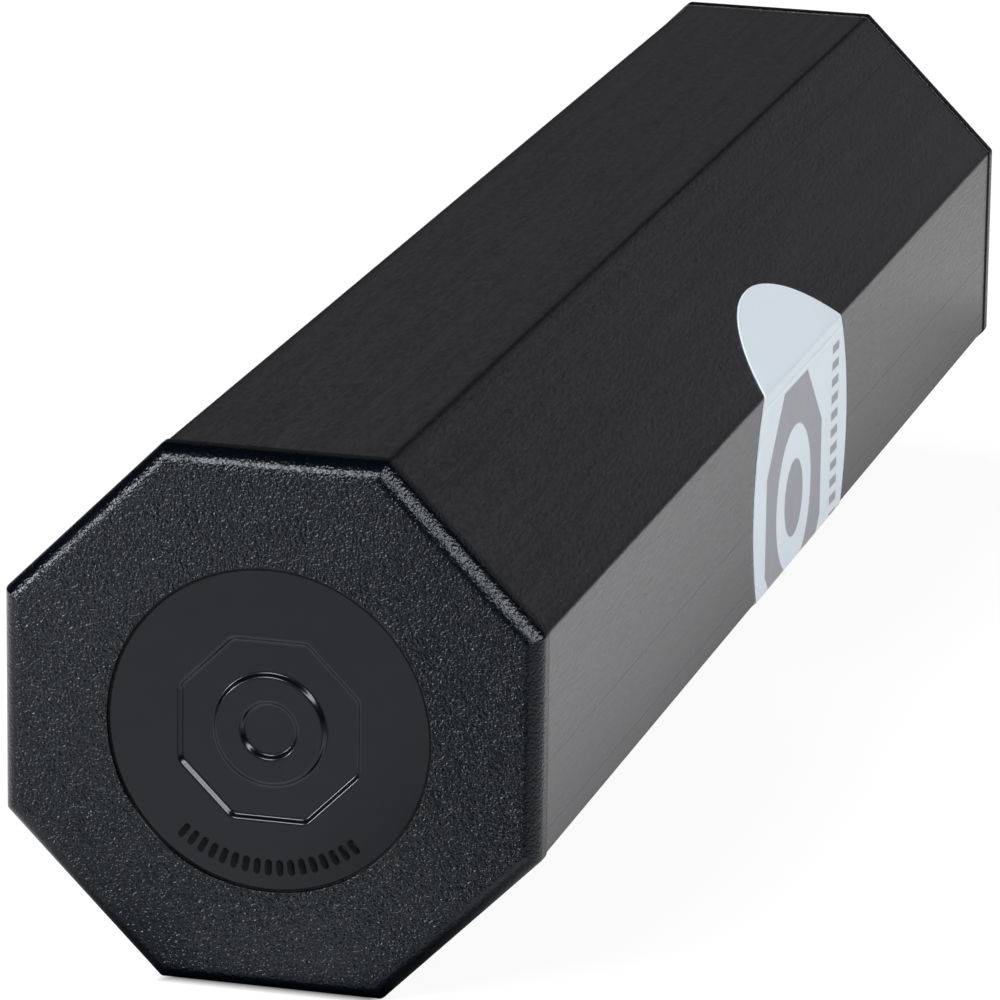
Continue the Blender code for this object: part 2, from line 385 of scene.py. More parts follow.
dark, shader = new_finish("dark_room_glow")
tree = dark.node_tree
tree.nodes.remove(shader)
place = put(tree, "TexCoord").outputs["Object"]
place = put(tree, "VectorMath", {0: place, "Scale": 1 / ROOM_RADIUS}, operation="SCALE").outputs[0]
parts = put(tree, "SeparateXYZ", {0: place})
low_down = between(tree, parts.outputs[2], SPILL_FULL, SPILL_END, ROOM_SPILL, 0.0)
at_back = between(tree, parts.outputs[1], 0.0, SPILL_BACK)
to_right = between(tree, parts.outputs[0], -SPILL_TURN, SPILL_TURN, SPILL_LEFT, SPILL_RIGHT)
spill = product(tree, low_down, at_back, to_right)
room_unevenness = uneven_value(tree, place, 40.0, 2.0)
glow = sums(tree, "ADD", spill, sums(tree, "MULTIPLY", room_unevenness, 2 * ROOM_DARK))
room_glow = put(tree, "Emission", {"Color": (0.95, 0.96, 1.0, 1), "Strength": glow})
tree.links.new(room_glow.outputs[0], tree.nodes["Material Output"].inputs["Surface"])
dark.cycles.emission_sampling = "NONE"
mesh.materials.append(dark)
print("room dome:", ROOM_RADIUS, "m")

# %% [markdown]
# ## The outline that tube and caps share
#
# Everything but the shot follows one outline: a regular octagon with slightly rounded corners. A
# function gives it as a closed row of points with a fixed count, so two outlines of different size
# can always be joined by four-sided faces. Stacking outlines along the axis is called a loft. It
# gives clean long faces and exact control of every rounded edge, where a Boolean would leave a
# tangle of small faces.

# %% Points of a rounded octagon
SIDES = 8
SIDE_TURN = 2 * math.pi / SIDES


def octagon_row(half_width, corner_radius, shares, corner_steps, bump=None):
    """Points (x, z) of an octagon whose flats are half_width from the middle. Shares, from -1 to 1,
    say where on each flat its points lie. bump(t) is how far a point at t from the flat's middle
    stands out."""
    row = []
    straight = (half_width - corner_radius) * math.tan(SIDE_TURN / 2)
    for side in range(SIDES):
        angle = side * SIDE_TURN
        out = Vector((math.cos(angle), math.sin(angle)))
        along = Vector((-out.y, out.x))
        for share in shares:
            t = share * straight
            lift = bump(t) if bump else 0.0
            row.append(out * (half_width + lift) + along * t)
        pivot = out * (half_width - corner_radius) + along * straight
        for step in range(1, corner_steps):
            bend = angle + SIDE_TURN * step / corner_steps
            row.append(pivot + Vector((math.cos(bend), math.sin(bend))) * corner_radius)
    return row


def loft(bm, rows, materials=None, corner_weight=None):
    """Joins rows of 3-D points into a skin. Gives the vertices row by row."""
    layer = bm.verts.layers.float.get("corner_weight") or bm.verts.layers.float.new("corner_weight")
    skin = []
    for number, row in enumerate(rows):
        verts = [bm.verts.new(point) for point in row]
        if corner_weight:
            for vert, near_corner in zip(verts, corner_weight[number]):
                vert[layer] = near_corner
        skin.append(verts)
    count = len(skin[0])
    for number in range(len(skin) - 1):
        here, there = skin[number], skin[number + 1]
        for i in range(count):
            j = (i + 1) % count
            face = bm.faces.new((here[i], here[j], there[j], there[i]))
            face.smooth = True
            face.material_index = materials[number] if materials else 0
    return skin


print("an octagon 50 mm across has", len(octagon_row(0.025, 0.0005, (-1, 0, 1), 4)), "points here")

# %% [markdown]
# ## The tube
#
# The real tube is an aluminium extrusion, sawn to length, brushed along its length and anodised
# black. It is a thin wall with a bore, so the loft runs up the outside and back down the inside and
# closes on itself. Six small steps round each corner give the edge its own thin line of light.

# %% Measure the tube in the frame
LIP = 3.0 * MM
SEAT_SLACK = 0.01 * MM

tube_low, tube_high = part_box("tube")
TUBE_HALF = (tube_high.x - tube_low.x) / 2
AXIS = Vector((0, 0, (tube_low.z + tube_high.z) / 2))
CAP_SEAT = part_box("front_cap")[0].y + LIP
TUBE_REACH = abs(CAP_SEAT) - SEAT_SLACK
print("tube is", round(2000 * TUBE_HALF, 2), "mm across, axis", round(1000 * AXIS.z, 2), "mm up")

# %% Two helpers for every piece
def stand_along_y(row, y):
    """Stands a row of (x, z) points at y, round the shaker's axis."""
    return [Vector((point.x, y, point.y)) + AXIS for point in row]


def finish_mesh(bm, name, sharp):
    """Turns a bmesh into an object in the scene, with its faces turned outwards. An edge that bends
    more than sharp degrees shades as an edge."""
    bmesh.ops.recalc_face_normals(bm, faces=bm.faces)
    mesh = bpy.data.meshes.new(name)
    bm.to_mesh(mesh)
    bm.free()
    mesh.set_sharp_from_angle(angle=math.radians(sharp))
    piece = bpy.data.objects.new(name, mesh)
    bpy.context.scene.collection.objects.link(piece)
    return piece


print("helpers ready: stand_along_y, finish_mesh")

# %% Build the tube
TUBE_WALL = 1.5 * MM
TUBE_EDGE = 0.5 * MM
BORE_EDGE = 0.3 * MM
TUBE_CHAMFER = 0.15 * MM
TUBE_CORNER_STEPS = 6
TUBE_SHARES = (-1, -0.97, -0.9, -0.45, 0, 0.45, 0.9, 0.97, 1)
CORNER_WEIGHT_AT_SHARES = [0.8, 0.25, 0, 0, 0, 0, 0, 0.25, 0.8]
CORNER_WEIGHT_ON_ARC = [1.0] * (TUBE_CORNER_STEPS - 1)


def make_tube():
    """The tube as one closed skin: outside, end, bore, other end. A float attribute on its points
    is
    1 on the long outer corners and 0 on the flats and inside; the finish is darker where it is
    high."""
    outer = TUBE_HALF
    inner = TUBE_HALF - TUBE_WALL
    levels = [(-TUBE_REACH + TUBE_CHAMFER, outer)]
    for share in (0.02, 0.25, 0.5, 0.75, 0.98):
        levels += [(-TUBE_REACH + 2 * TUBE_REACH * share, outer)]
    levels += [(TUBE_REACH - TUBE_CHAMFER, outer), (TUBE_REACH, outer - TUBE_CHAMFER)]
    levels += [(TUBE_REACH, inner), (0.0, inner), (-TUBE_REACH, inner)]
    levels += [(-TUBE_REACH, outer - TUBE_CHAMFER)]
    rows, corner_weight = [], []
    for y, half in levels:
        corner = TUBE_EDGE if half > inner + TUBE_WALL / 2 else BORE_EDGE
        rows.append(stand_along_y(octagon_row(half, corner, TUBE_SHARES, TUBE_CORNER_STEPS), y))
        on_outside = half == outer
        corner_weight.append((CORNER_WEIGHT_AT_SHARES + CORNER_WEIGHT_ON_ARC) * SIDES if on_outside else [0.0] * len(rows[-1]))
    bm = bmesh.new()
    skin = loft(bm, rows, corner_weight=corner_weight)
    first, last = skin[0], skin[-1]
    for i in range(len(first)):
        j = (i + 1) % len(first)
        bm.faces.new((last[i], last[j], first[j], first[i])).smooth = True
    return finish_mesh(bm, "shaker_tube", sharp=20)


tube = make_tube()
print("tube has", len(tube.data.polygons), "faces")

# %% [markdown]
# ### Its finish: brushed and anodised
#
# Brushing leaves fine scratches that run the length of the tube. They come from noises that are
# squeezed across the tube and stretched along it, and the same noises drive the colour, the
# roughness and the bump, because on the real surface one scratch changes all three. The die that
# the tube was pressed through leaves a few straight marks along its whole length. A noise can't
# draw a line as long and straight as that, so each is a distance from a plane through the tube.
# Anodising is a dyed layer of oxide, so the surface reflects like a black lacquer and not like bare
# metal.

# %% Helpers for streaks, colours and bumps
def stretched(tree, place, along):
    """Coordinates squeezed along Y, so that a noise read there comes out in long streaks."""
    return put(tree, "Mapping", {"Vector": place, "Scale": (1, along, 1)}).outputs[0]


def colour_between(tree, share, first, second):
    """A colour that goes from the first to the second as share goes from 0 to 1. Each is three
    numbers, or a socket."""
    node = put(tree, "Mix", {0: share}, data_type="RGBA")
    for socket, colour in ((node.inputs[6], first), (node.inputs[7], second)):
        if isinstance(colour, bpy.types.NodeSocket):
            tree.links.new(colour, socket)
        else:
            socket.default_value = (*colour, 1)
    return node.outputs[2]


def blend_of(tree, *pairs):
    """A weighted sum of values, given as pairs of value and weight."""
    answer = 0.0
    for value, weight in pairs:
        answer = sums(tree, "ADD", answer, sums(tree, "MULTIPLY", value, weight))
    return answer


def measured(tree, place, way):
    """How far a place lies in the direction way."""
    inputs = {0: place, 1: way}
    return put(tree, "VectorMath", inputs, operation="DOT_PRODUCT").outputs["Value"]


def set_bump(tree, shader, height, distance):
    """Lets the shader see a height of 1 as a hill of distance metres."""
    bump = put(tree, "Bump", {"Strength": 1.0, "Distance": distance, "Height": height})
    tree.links.new(bump.outputs[0], shader.inputs["Normal"])


def set_roughness(tree, shader, value, least, most):
    """Spreads the roughness from least to most over the middle of a noise."""
    tree.links.new(between(tree, value, 0.3, 0.7, least, most), shader.inputs["Roughness"])


print("helpers ready: stretched, colour_between, blend_of, measured, set_bump, set_roughness")

# %% The marks of the die
DIE_LINES = ((0, -8.2), (0, -1.9), (1, 5.3), (2, -6.1), (3, 3.4), (4, 1.7), (5, -4.9), (7, 2.6))
DIE_LINE_HALF = 0.09 * MM


def die_lines(tree, place):
    """1 on the straight marks and 0 beside them. Each is given by its flat and by how many
    millimetres it lies from that flat's middle."""
    marks = 0.0
    centred = put(tree, "VectorMath", {0: place, 1: AXIS}, operation="SUBTRACT").outputs[0]
    for side, offset in DIE_LINES:
        angle = side * SIDE_TURN
        reach = measured(tree, centred, (math.cos(angle), 0, math.sin(angle)))
        across = measured(tree, centred, (-math.sin(angle), 0, math.cos(angle)))
        astray = sums(tree, "ABSOLUTE", sums(tree, "SUBTRACT", across, offset * MM))
        mark = between(tree, astray, 0.0, DIE_LINE_HALF, 1.0, 0.0, kind="SMOOTHSTEP")
        outer = sums(tree, "GREATER_THAN", reach, TUBE_HALF - TUBE_WALL / 2)
        marks = sums(tree, "MAXIMUM", marks, sums(tree, "MULTIPLY", mark, outer))
    return marks


print("die marks:", len(DIE_LINES), "each", round(2000 * DIE_LINE_HALF, 2), "mm wide")

# %% Brushed black anodising
TUBE_DARK, TUBE_LIGHT = (0.0168, 0.0163, 0.0184), (0.0284, 0.0276, 0.0308)
CORNER_SHADE, CORNER_SHARE = (0.006, 0.006, 0.007), 0.8
SCRATCH_DEPTH = 0.032 * MM

anodised, shader = new_finish("brushed_black_anodising")
tree = anodised.node_tree
place = put(tree, "TexCoord").outputs["Object"]
fine = uneven_value(tree, stretched(tree, place, 0.02), 7000.0, 2.0)
broad = uneven_value(tree, stretched(tree, place, 0.03), 900.0, 3.0)
speck = uneven_value(tree, stretched(tree, place, 0.25), 3300.0, 1.0)
mark = die_lines(tree, place)
tone = blend_of(tree, (broad, 0.3), (fine, 0.2), (speck, 0.5), (mark, -0.10))
shade = colour_between(tree, between(tree, tone, 0.35, 0.65), TUBE_DARK, TUBE_LIGHT)
# The long outer corners are given a darker colour than the flats.
near_corner = put(tree, "Attribute", attribute_name="corner_weight").outputs["Fac"]
shade = colour_between(tree, sums(tree, "MULTIPLY", near_corner, CORNER_SHARE), shade, CORNER_SHADE)
tree.links.new(shade, shader.inputs["Base Color"])
scratch = between(tree, blend_of(tree, (fine, 0.5), (speck, 0.5)), 0.3, 0.7, 0.18, 0.28)
tree.links.new(blend_of(tree, (scratch, 1.0), (mark, 0.12)), shader.inputs["Roughness"])
height = blend_of(tree, (speck, 1.0), (fine, 0.15), (mark, -0.12))
set_bump(tree, shader, height, SCRATCH_DEPTH)
shader.inputs["Specular IOR Level"].default_value = 0.38
shader.inputs["Specular Tint"].default_value = (0.86, 0.80, 1.0, 1)
tube.data.materials.append(anodised)
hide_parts("tube")
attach(tube, "shell")
print(anodised.name, "has", len(tree.nodes), "nodes")

# %% [markdown]
# ## The end caps
#
# Each cap is a black moulding with a 3 mm lip that ends in a rounded rim, a grained face with a
# smooth round medallion sunk in it, and a ribbed plug that grips the bore. It is one loft again,
# from the pocket inside the plug, out over the ribs and the lip, round the rim, and in over the
# face to its middle. The medallion is decorated with plain geometry: an octagonal hollow that holds
# a round island with a dimple, and an arc of short stamped bars below it.

# %% Sizes of a cap
CAP_HALF = (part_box("front_cap")[1].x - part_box("front_cap")[0].x) / 2
CAP_CORNER, CAP_CORNER_LEAST = 0.6 * MM, 0.12 * MM
RIM_RADIUS, RIM_STEPS = 1.8 * MM, 14
SEAT_ROUND, SEAT_STEPS = 0.13 * MM, 4
PLUG_HALF = 22.8 * MM
PLUG_DEPTH = 10.0 * MM
PLUG_WALL = 1.6 * MM
PLUG_LEAD = 0.6 * MM
POCKET_FLOOR = -1.0 * MM
RIB_RADIUS = 0.9 * MM
RIB_OUT = 0.4 * MM
RIB_END, RIB_STEP = 8.5 * MM, 0.01 * MM
MEDAL_RADIUS = 15.2 * MM
MEDAL_DEPTH = 0.25 * MM
MEDAL_DROP = 0.4 * MM
print("cap is", round(2000 * CAP_HALF, 2), "mm across")

# %% Where a cap's points lie
RIB_SHARES = (-0.0792, -0.07, -0.045, -0.02, 0.0, 0.02, 0.045, 0.07, 0.0792)
FLAT_SHARES = (0.18, 0.34, 0.5, 0.66, 0.82, 0.94, 1)
CAP_SHARES = tuple(-share for share in FLAT_SHARES[::-1]) + RIB_SHARES + FLAT_SHARES
CAP_CORNER_STEPS = 6
GRAINED, SMOOTH, PLAIN, FOIL_AND_SHADE = 0, 1, 2, 3


def rib_bump(t):
    """How far a crush rib stands out of the plug's flat, at t from its middle."""
    middle_in = RIB_RADIUS - RIB_OUT
    inside = RIB_RADIUS**2 - t**2
    return max(0.0, math.sqrt(inside) - middle_in) if inside > middle_in**2 else 0.0


def cap_row(half, y, corner=CAP_CORNER, bump=None, drop=0.0):
    """One octagonal outline of a cap, at y along its own axis, its middle dropped by drop."""
    row = octagon_row(half, corner, CAP_SHARES, CAP_CORNER_STEPS, bump)
    return [Vector((point.x, y, point.y - drop)) for point in row]


def round_row(radius, y):
    """One round outline of the medallion, with a point for each point of the octagon."""
    ways = [point.normalized() for point in octagon_row(1.0, 0.02, CAP_SHARES, CAP_CORNER_STEPS)]
    return [Vector((way.x * radius, y, way.y * radius - MEDAL_DROP)) for way in ways]


print("each outline of a cap has", len(cap_row(CAP_HALF, 0.0)), "points")

# %% [markdown]
# The steps on the medallion have small rounded shoulders, which catch the lamps as thin bright and
# dark lines. Each is the same short profile, so one function gives it for a row that shrinks as it
# goes in.

# %% Rounded shoulders
SHOULDER_STEPS = 5


def shoulder(make_row, size_from, size_to, y_from, y_to):
    """Rows of an S-shaped step from one size and height to another, round at head and foot."""
    rows = []
    for step in range(2 * SHOULDER_STEPS + 1):
        turn = math.pi * step / (2 * SHOULDER_STEPS)
        share = (1 - math.cos(turn)) / 2
        lean = step / (2 * SHOULDER_STEPS)
        size = size_from + (size_to - size_from) * lean
        rows.append(make_row(size, y_from + (y_to - y_from) * share))
    return rows


print("a shoulder has", 2 * SHOULDER_STEPS + 1, "rows")

# %% The plug of a cap that faces -Y, with its seat at 0
def plug_rows():
    """From the pocket's floor out to the plug's end and back over the ribs to the seat."""
    pocket = PLUG_HALF - PLUG_WALL
    rows = [cap_row(pocket, POCKET_FLOOR), cap_row(pocket, PLUG_DEPTH)]
    rows += [cap_row(PLUG_HALF - PLUG_LEAD, PLUG_DEPTH), cap_row(PLUG_HALF, PLUG_DEPTH - PLUG_LEAD)]
    rows += [cap_row(PLUG_HALF, RIB_END + RIB_STEP), cap_row(PLUG_HALF, RIB_END, bump=rib_bump)]
    return rows + [cap_row(PLUG_HALF, 0.0, bump=rib_bump)]


print("the plug has", len(plug_rows()), "outlines")

# %% The lip and the face
RIM_START, RIM_LEAD = -(LIP - RIM_RADIUS), 0.1 * MM
FACE_INSETS = (0.08 * MM, 0.6 * MM, 2.6 * MM)
FACE_ROUNDS = (0.4 * MM, 0.1 * MM)


def lip_rows():
    """From the seat over the lip, round the rim and in over the grained face."""
    rows = []
    for step in range(SEAT_STEPS + 1):
        turn = math.pi / 2 * step / SEAT_STEPS
        half = CAP_HALF - SEAT_ROUND * (1 - math.sin(turn))
        rows.append(cap_row(half, -SEAT_ROUND * (1 - math.cos(turn))))
    rows.append(cap_row(CAP_HALF, RIM_START + RIM_LEAD))
    for step in range(RIM_STEPS + 1):
        turn = math.pi / 2 * step / RIM_STEPS
        shrink = RIM_RADIUS * (1 - math.cos(turn))
        corner = max(CAP_CORNER - shrink, CAP_CORNER_LEAST)
        rows.append(cap_row(CAP_HALF - shrink, RIM_START - RIM_RADIUS * math.sin(turn), corner))
    face = CAP_HALF - RIM_RADIUS
    rows += [cap_row(face - inset, -LIP, CAP_CORNER_LEAST) for inset in FACE_INSETS]
    return rows + [round_row(MEDAL_RADIUS + out, -LIP) for out in FACE_ROUNDS]


print("the lip and face have", len(lip_rows()), "outlines")

# %% The medallion, and the whole cap's outlines
HOLLOW_HALF = 8.6 * MM
HOLLOW_DEPTH = 0.36 * MM
HOLLOW_CORNER = 1.1 * MM
ISLAND_RADIUS = 5.4 * MM
DIMPLE_RADIUS = 2.8 * MM
STEP_RUN, FLAT_ROW = 0.48 * MM, 0.15 * MM
MEDAL_RUN, MEDAL_INSET = 0.10 * MM, 0.2 * MM


def eight_sided(size, y):
    """One outline of the hollow in the medallion."""
    return cap_row(size, y, HOLLOW_CORNER, drop=MEDAL_DROP)


def medal_step(make_row, size, y_from, y_to):
    """A rounded step that starts at size, with a flat row before and after it."""
    rows = [make_row(size + FLAT_ROW, y_from)]
    rows += shoulder(make_row, size, size - STEP_RUN, y_from, y_to)
    return rows + [make_row(size - STEP_RUN - FLAT_ROW, y_to)]


def cap_rows():
    """All outlines of a cap in order, each with the finish of the band that follows it."""
    plan = [(row, PLAIN) for row in plug_rows()] + [(row, GRAINED) for row in lip_rows()]
    sunk = -LIP + MEDAL_DEPTH
    deep = sunk + HOLLOW_DEPTH
    edge = shoulder(round_row, MEDAL_RADIUS, MEDAL_RADIUS - MEDAL_RUN, -LIP, sunk)
    plan += [(row, SMOOTH) for row in edge[:SHOULDER_STEPS]]
    # The foot of the medallion's edge takes the dark foil finish: painted shade along the foot.
    plan += [(row, FOIL_AND_SHADE) for row in edge[SHOULDER_STEPS:]]
    rows = [round_row(MEDAL_RADIUS - MEDAL_RUN - MEDAL_INSET, sunk)]
    rows += medal_step(eight_sided, HOLLOW_HALF, sunk, deep)
    rows += medal_step(round_row, ISLAND_RADIUS, deep, sunk)
    rows += medal_step(round_row, DIMPLE_RADIUS, sunk, deep)
    return plan + [(row, SMOOTH) for row in rows]


print("a cap has", len(cap_rows()), "outlines")

# %% Bars on the medallion
BAR_COUNT = 17
BAR_RING = 12.9 * MM
BAR_LONG = 1.5 * MM
BAR_WIDE = 0.62 * MM
BAR_RISE = 0.14 * MM
BAR_ARC = (-128, -52)
BAR_POINTS = 16
BAR_LEVELS = ((1.0, -0.10), (1.0, 0.55), (0.86, 0.88), (0.6, 1.0))


def bar_outline(grow):
    """Points (along, across) of a bar with half-round ends, a little smaller if grow is below 1."""
    half_wide = BAR_WIDE / 2 * grow
    straight = BAR_LONG / 2 - BAR_WIDE / 2
    points = []
    for number in range(BAR_POINTS):
        turn = 2 * math.pi * number / BAR_POINTS
        at_middle = abs(math.cos(turn)) < 1e-6
        end = 0 if at_middle else math.copysign(straight, math.cos(turn))
        points.append((end + half_wide * math.cos(turn), half_wide * math.sin(turn)))
    return points


def add_bars(bm):
    """Short raised bars in an arc low on the medallion, each a small block with a rounded top."""
    sunk = -LIP + MEDAL_DEPTH
    for number in range(BAR_COUNT):
        share = number / (BAR_COUNT - 1)
        angle = math.radians(BAR_ARC[0] + (BAR_ARC[1] - BAR_ARC[0]) * share)
        out = Vector((math.cos(angle), 0, math.sin(angle)))
        across = Vector((-out.z, 0, out.x))
        rows = []
        for grow, rise in BAR_LEVELS:
            level = Vector((0, sunk - BAR_RISE * rise, -MEDAL_DROP))
            rows.append([out * (BAR_RING + u) + across * v + level for u, v in bar_outline(grow)])
        skin = loft(bm, rows, materials=[FOIL_AND_SHADE] * len(rows))
        for ring in (skin[0], skin[-1]):
            face = bm.faces.new(ring)
            face.material_index = FOIL_AND_SHADE
            face.smooth = True


print("bars on a medallion:", BAR_COUNT)

# %% Put the two caps together
def make_cap(name, facing):
    """One end cap, in place. Facing is -1 for the front one and 1 for the rear one."""
    plan = cap_rows()
    bm = bmesh.new()
    skin = loft(bm, [row for row, _ in plan], materials=[finish for _, finish in plan])
    for ring, finish in ((skin[0], PLAIN), (skin[-1], SMOOTH)):
        face = bm.faces.new(ring)
        face.material_index = finish
        face.smooth = True
    add_bars(bm)
    if facing > 0:
        half_turn = Matrix.Rotation(math.pi, 3, "Z")
        bmesh.ops.rotate(bm, verts=bm.verts, cent=(0, 0, 0), matrix=half_turn)
    bmesh.ops.translate(bm, verts=bm.verts, vec=AXIS + Vector((0, facing * abs(CAP_SEAT), 0)))
    return finish_mesh(bm, name, sharp=35)


caps = {"front_cap": make_cap("front_end_cap", -1), "rear_cap": make_cap("rear_end_cap", 1)}
print("a cap has", len(caps["front_cap"].data.polygons), "faces")

# %% [markdown]
# ### Grained plastic
#
# The mould of the face was spark eroded, which leaves a skin of tiny rounded hills a quarter of a
# millimetre apart. Each hill glints where it leans towards a lamp and goes dark where it leans
# towards the room. A smooth Voronoi pattern gives the hills, a noise of the same size joins some of
# them into short ridges, and a slower noise makes some patches stronger. The mould could be etched
# less deeply on the rounded rim, so the hills are lower there.

# %% The grained finish
GRAIN_SCALE = 3700.0
GRAIN_NARROW = 1.2
GRAIN_ON_FACE, GRAIN_ON_RIM = 0.114 * MM, 0.045 * MM
FACE_AT = -cad_box[0][1]
RIM_BEFORE, FACE_BEFORE = 0.08 * MM, 0.01 * MM
GRAIN_TINT = (0.87, 0.92, 1.0, 1)

grained, shader = new_finish("grained_black_plastic")
tree = grained.node_tree
place = put(tree, "TexCoord").outputs["Object"]
narrow = put(tree, "Mapping", {"Vector": place, "Scale": (GRAIN_NARROW, 1, 1)}).outputs[0]
ridges = between(tree, uneven_value(tree, narrow, GRAIN_SCALE, 1.0, 0.3), 0.28, 0.72, -0.5, 0.5)
cells = {"Vector": narrow, "Scale": GRAIN_SCALE * 1.1, "Smoothness": 0.6}
hills = put(tree, "TexVoronoi", cells, feature="SMOOTH_F1").outputs["Distance"]
hills = sums(tree, "SUBTRACT", 0.5, hills)
swell = sums(tree, "SUBTRACT", uneven_value(tree, place, 1500.0, 1.0), 0.5)
height = blend_of(tree, (ridges, 0.5), (hills, 0.6), (swell, 0.3))
far_out = sums(tree, "ABSOLUTE", put(tree, "SeparateXYZ", {0: place}).outputs[1])
rim, face = FACE_AT - RIM_BEFORE, FACE_AT - FACE_BEFORE
deep = between(tree, far_out, rim, face, GRAIN_ON_RIM / MM, GRAIN_ON_FACE / MM)
set_bump(tree, shader, sums(tree, "MULTIPLY", height, deep), MM)
shade = sums(tree, "ADD", ridges, 0.5)
shade = colour_between(tree, shade, (0.0002, 0.0006, 0.0014), (0.0012, 0.0024, 0.0044))
tree.links.new(shade, shader.inputs["Base Color"])
set_roughness(tree, shader, uneven_value(tree, place, 160.0, 2.0), 0.17, 0.23)
shader.inputs["Specular IOR Level"].default_value = 0.30
shader.inputs["Specular Tint"].default_value = GRAIN_TINT
print(grained.name, "has", len(tree.nodes), "nodes")

# %% [markdown]
# The medallion was polished in the mould, so it has only the faint unevenness of shrinking plastic,
# and the plug is plain moulded plastic with fine draw marks along the way it left the mould. The
# bars are stamped with matt black foil. The same dark finish paints shade along the foot of the
# medallion's edge.

# %% The smooth finish
smooth, shader = new_finish("smooth_black_plastic")
tree = smooth.node_tree
place = put(tree, "TexCoord").outputs["Object"]
wave = uneven_value(tree, place, 220.0, 2.0)
dust = uneven_value(tree, place, 5000.0, 1.0)
shade = colour_between(tree, wave, (0.0006, 0.0013, 0.0026), (0.0010, 0.0020, 0.0036))
tree.links.new(shade, shader.inputs["Base Color"])
set_roughness(tree, shader, dust, 0.17, 0.20)
set_bump(tree, shader, blend_of(tree, (wave, 1.0), (dust, 0.004)), 0.02 * MM)
shader.inputs["Specular IOR Level"].default_value = 0.40
shader.inputs["Specular Tint"].default_value = (0.93, 0.96, 1.0, 1)
print(smooth.name, "has", len(tree.nodes), "nodes")

# %% The plain finish
plain, shader = new_finish("plain_black_plastic")
tree = plain.node_tree
place = put(tree, "TexCoord").outputs["Object"]
draw = uneven_value(tree, stretched(tree, place, 0.05), 2500.0, 2.0)
shade = colour_between(tree, draw, (0.004, 0.004, 0.0045), (0.009, 0.009, 0.010))
tree.links.new(shade, shader.inputs["Base Color"])
set_roughness(tree, shader, draw, 0.38, 0.50)
set_bump(tree, shader, draw, 0.01 * MM)
print(plain.name, "has", len(tree.nodes), "nodes")

# %% The stamped foil, also the painted shade at the foot of the medallion's edge
foil_and_shade, shader = new_finish("black_foil_and_painted_shade")
tree = foil_and_shade.node_tree
place = put(tree, "TexCoord").outputs["Object"]
crumb = uneven_value(tree, place, 3600.0, 2.0)
shade = colour_between(tree, crumb, (0.0002, 0.0003, 0.0005), (0.0010, 0.0011, 0.0014))
tree.links.new(shade, shader.inputs["Base Color"])
set_roughness(tree, shader, crumb, 0.24, 0.40)
set_bump(tree, shader, crumb, 0.05 * MM)
shader.inputs["Specular IOR Level"].default_value = 0.10
print(foil_and_shade.name, "has", len(tree.nodes), "nodes")

# %% Dress both caps
for node, cap in caps.items():
    for finish in (grained, smooth, plain, foil_and_shade):
        cap.data.materials.append(finish)
    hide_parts(node)
    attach(cap, "shell")
print("caps dressed:", len(caps))

# %% [markdown]
# ## The round sticker
#
# It is a 41 mm round of pale vinyl, stuck on one flat and folded over the edges above and below.
# The way to fold it is to draw it flat, as rows of points from top to bottom, and to lay each row
# on the tube at the same distance measured along the surface. That keeps it a true circle when it
# is unrolled, as the real one is. The flat coordinates are kept as a UV map, for its print.

# %% Where the sticker lies on the tube
STICKER_RADIUS = 20.6 * MM
STICKER_THICK = 0.124 * MM
STICKER_GAP = 0.006 * MM
STICKER_LEAN = 0.12 * MM
STICKER_MIDDLE = Vector((3.4 * MM, -1.5 * MM))
FOLD_RADIUS = TUBE_EDGE + STICKER_GAP
FOLD_FLAT = (TUBE_HALF - TUBE_EDGE) * math.tan(SIDE_TURN / 2)
FOLD_LENGTH = FOLD_RADIUS * SIDE_TURN


def on_surface(height, lift):
    """The place (x, z) of a point that is height up the wall from the middle of the right-hand
    flat, measured along the surface, and lift above it."""
    up = 1 if height >= 0 else -1
    far = abs(height)
    if far <= FOLD_FLAT:
        return Vector((TUBE_HALF + STICKER_GAP + lift, height))
    pivot = Vector((TUBE_HALF - TUBE_EDGE, up * FOLD_FLAT))
    turn = min(1.0, (far - FOLD_FLAT) / FOLD_LENGTH) * SIDE_TURN
    out = Vector((math.cos(turn), up * math.sin(turn)))
    beyond = max(0.0, far - FOLD_FLAT - FOLD_LENGTH)
    return pivot + out * (FOLD_RADIUS + lift) + Vector((-out.y * up, up * out.x)) * beyond


print("the sticker folds", round(1000 * FOLD_FLAT, 2), "mm from the flat's middle")

# %% Rows of the sticker
STICKER_COLUMNS = 40
STICKER_ROWS = 72
FOLD_STEPS = 8
ROW_ROOM = 0.03 * MM


def sticker_heights():
    """Heights of the rows, close together at the ends of the circle and in the two folds."""
    turns = [math.pi * (row / STICKER_ROWS - 0.5) for row in range(1, STICKER_ROWS)]
    heights = {STICKER_RADIUS * math.sin(turn) for turn in turns}
    for up in (1, -1):
        for step in range(FOLD_STEPS + 1):
            at_fold = up * (FOLD_FLAT + FOLD_LENGTH * step / FOLD_STEPS) - STICKER_MIDDLE.y
            heights = {height for height in heights if abs(height - at_fold) > ROW_ROOM}
            heights.add(at_fold)
    return sorted(heights)


def sticker_skin(bm, lift, flat):
    """The front or back skin of the sticker, as rows of vertices. The front is drawn in a little,
    so that the cut edge leans. Each vertex's flat coordinates go into flat."""
    skin = []
    shrink = 1 - STICKER_LEAN / STICKER_RADIUS if lift else 1.0
    for flat_height in sticker_heights():
        height = flat_height * shrink
        half = shrink * math.sqrt(max(STICKER_RADIUS**2 - flat_height**2, 0.0))
        spot = on_surface(height + STICKER_MIDDLE.y, lift)
        row = []
        for column in range(STICKER_COLUMNS + 1):
            across = -half * math.cos(math.pi * column / STICKER_COLUMNS)
            vert = bm.verts.new(Vector((spot.x, across + STICKER_MIDDLE.x, spot.y)) + AXIS)
            flat[vert] = (across, height)
            row.append(vert)
        skin.append(row)
    return skin


